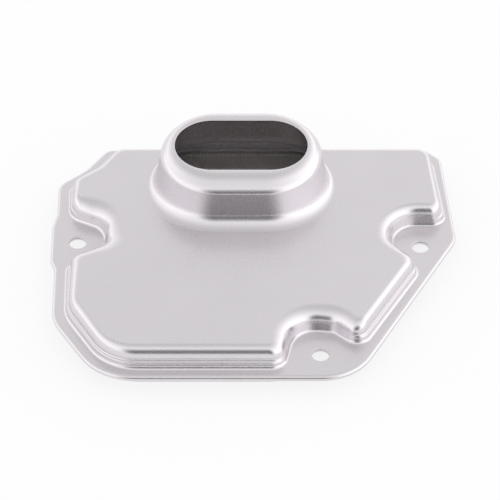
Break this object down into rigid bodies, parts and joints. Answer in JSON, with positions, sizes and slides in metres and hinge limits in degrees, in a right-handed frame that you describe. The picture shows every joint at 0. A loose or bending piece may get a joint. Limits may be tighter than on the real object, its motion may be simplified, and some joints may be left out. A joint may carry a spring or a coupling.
{
  "type": "automatic transmission filter",
  "caption": "Flat pressed-steel oil filter with an oval suction neck on top, bolt holes in its crimped flange, and a wire screen inside.",
  "frame": {"origin": "under the middle of the filter's box, on the plane that the tray's floor stands on", "axes": "+Z out of the suction neck, +X along the filter's longest side to the right, +Y to the side where the neck stands"},
  "size_m": [0.156, 0.1342, 0.036],
  "materials": {
    "cover_steel": "satin",
    "tray_steel": "satin",
    "screen_wire": "matte"
  },
  "bodies": {
    "root": {"upper_shell": "cover_steel", "lower_shell": "tray_steel", "filter_screen": "screen_wire"}
  },
  "joints": []
}
